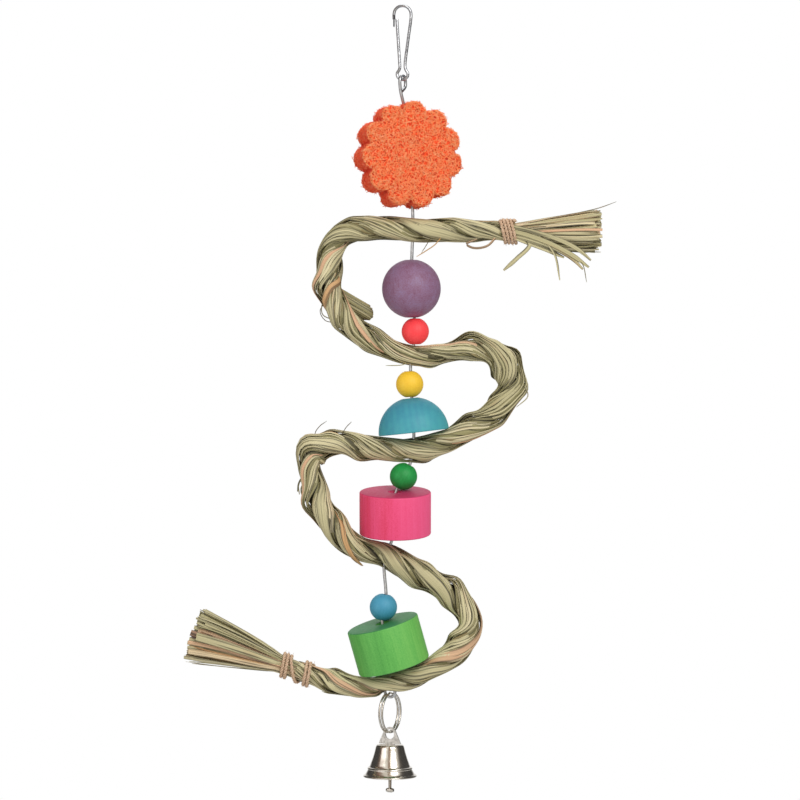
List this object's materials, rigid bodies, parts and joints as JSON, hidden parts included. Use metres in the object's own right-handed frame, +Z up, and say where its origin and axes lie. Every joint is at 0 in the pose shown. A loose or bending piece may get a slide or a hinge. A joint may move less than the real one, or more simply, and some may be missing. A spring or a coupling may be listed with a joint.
{
  "type": "hanging bird toy",
  "caption": "Cage toy on a wire snap hook: loofah slice, twisted grass rope in wide bends, stained wooden beads and blocks threaded on a steel wire, and a bell.",
  "frame": {"origin": "inside of the snap hook's crown, where a cage bar carries the toy", "axes": "+Z up along the hanging toy, +X to the right when the upper brush end points right, +Y away from the viewer"},
  "size_m": [0.214, 0.0392, 0.4019],
  "materials": {
    "steel_wire": "drawn wire",
    "nickel_plate": "polished",
    "loofah": "dyed fibre net",
    "grass": "dried leaf",
    "jute": "spun",
    "purple_wood": "matt stain",
    "red_wood": "matt stain",
    "yellow_wood": "matt stain",
    "teal_wood": "matt stain",
    "dark_green_wood": "matt stain",
    "pink_wood": "matt stain",
    "blue_wood": "matt stain",
    "light_green_wood": "matt stain"
  },
  "bodies": {
    "hook": {"snap_hook": "steel_wire"},
    "gate": {"snap_hook_gate": "steel_wire"},
    "spine": {"spine_wire": "steel_wire", "grass_rope": "grass", "right_brush_end": "grass", "left_brush_end": "grass", "right_twine_binding": "jute", "left_twine_binding": "jute"},
    "loofah": {"loofah_slice": "loofah"},
    "ball": {"purple_ball": "purple_wood"},
    "red": {"red_bead": "red_wood"},
    "yellow": {"yellow_bead": "yellow_wood"},
    "half_ball": {"blue_half_ball": "teal_wood"},
    "dark_green": {"green_bead": "dark_green_wood"},
    "pink": {"pink_block": "pink_wood"},
    "blue": {"blue_bead": "blue_wood"},
    "light_green": {"green_block": "light_green_wood"},
    "ring": {"split_ring": "steel_wire"},
    "bell": {"bell_shell": "nickel_plate", "bell_hanger": "nickel_plate"},
    "bell_clapper": {"clapper": "steel_wire"}
  },
  "joints": [
    {"name": "gate_flex", "type": "hinge", "parent": "hook", "child": "gate", "pos_m": [-0.0013, 0, -0.0302], "axis": [0, 1, 0], "range_deg": [0, 11], "stiffness_Nm_per_rad": 0.3},
    {"name": "spine_swing", "type": "hinge", "parent": "hook", "child": "spine", "pos_m": [0, 0, -0.03695], "axis": [1, 0, 0], "range_deg": [-30, 30]},
    {"name": "loofah_spin", "type": "hinge", "parent": "spine", "child": "loofah", "pos_m": [0.0028, 0, -0.07565], "axis": [-0.0837, 0, 0.9965], "continuous": true},
    {"name": "ball_lift", "type": "slide", "parent": "spine", "child": "ball", "axis": [0, 0, 1], "range_m": [0, 0.007]},
    {"name": "red_spin", "type": "hinge", "parent": "spine", "child": "red", "pos_m": [0.00652, 0, -0.16532], "axis": [0, 0, 1], "continuous": true},
    {"name": "yellow_spin", "type": "hinge", "parent": "spine", "child": "yellow", "pos_m": [0.00367, 0, -0.19222], "axis": [-0.0349, 0, 0.9994], "continuous": true},
    {"name": "half_ball_spin", "type": "hinge", "parent": "spine", "child": "half_ball", "pos_m": [0.00579, 0, -0.21684], "axis": [-0.1097, 0, 0.994], "continuous": true},
    {"name": "dark_green_spin", "type": "hinge", "parent": "spine", "child": "dark_green", "pos_m": [0.00051, 0, -0.23929], "axis": [0.4695, 0, 0.8829], "continuous": true},
    {"name": "pink_spin", "type": "hinge", "parent": "spine", "child": "pink", "pos_m": [-0.00371, 0, -0.25781], "axis": [0, -0.1564, 0.9877], "continuous": true},
    {"name": "blue_lift", "type": "slide", "parent": "spine", "child": "blue", "axis": [0.1392, 0, 0.9903], "range_m": [0, 0.005]},
    {"name": "light_green_spin", "type": "hinge", "parent": "spine", "child": "light_green", "pos_m": [-0.00726, 0, -0.32487], "axis": [-0.2658, -0.1045, 0.9584], "continuous": true},
    {"name": "ring_swing", "type": "hinge", "parent": "spine", "child": "ring", "pos_m": [-0.0064, 0, -0.34965], "axis": [0.8829, -0.4695, 0], "range_deg": [-20, 20]},
    {"name": "bell_swing", "type": "hinge", "parent": "ring", "child": "bell", "pos_m": [-0.0064, 0, -0.36965], "axis": [0.4695, 0.8829, 0], "range_deg": [-30, 30]},
    {"name": "clapper_swing", "type": "hinge", "parent": "bell", "child": "bell_clapper", "pos_m": [-0.0064, 0, -0.38024], "axis": [0.4695, 0.8829, 0], "range_deg": [-32, 32]}
  ]
}
